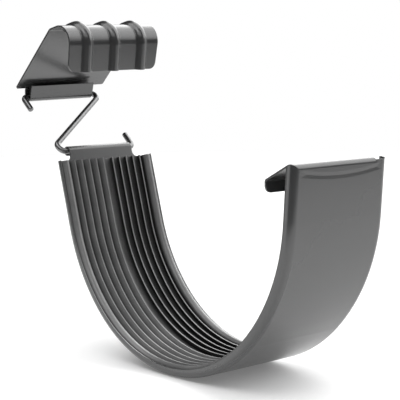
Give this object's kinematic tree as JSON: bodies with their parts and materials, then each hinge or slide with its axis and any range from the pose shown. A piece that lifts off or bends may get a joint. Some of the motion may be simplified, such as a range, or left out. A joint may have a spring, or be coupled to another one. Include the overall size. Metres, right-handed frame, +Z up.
{
  "type": "gutter union",
  "caption": "Open half-round gutter union: folded strap with ribbed rubber seal, rear hook, and a wire link and lever that latch over the gutter's front bead.",
  "frame": {"origin": "centre of the strap's bottom arc, which is the gutter's axis, midway along the strap's width", "axes": "+Y along the gutter, +Z up, -X toward the front bead and latch, +X toward the rear hook"},
  "size_m": [0.1705, 0.0496, 0.1392],
  "materials": {
    "strap": "semi-gloss dark grey coated sheet steel",
    "seal": "black extruded rubber, satin",
    "wire_link": "drawn steel wire, dull grey",
    "lever": "semi-gloss dark grey coated sheet steel"
  },
  "bodies": {
    "base": {"strap": "strap", "seal": "seal"},
    "link": {"wire_link": "wire_link"},
    "latch": {"lever": "lever"}
  },
  "joints": [
    {"name": "wire_pivot", "type": "hinge", "parent": "base", "child": "link", "pos_m": [-0.07441, 0, 0.01949], "axis": [0, 1, 0], "range_deg": [-115, 40]},
    {"name": "lever_pivot", "type": "hinge", "parent": "link", "child": "latch", "pos_m": [-0.09993, -0.00205, 0.0427], "axis": [-0.0219, 0.9996, 0.02], "range_deg": [-110, 44]}
  ]
}
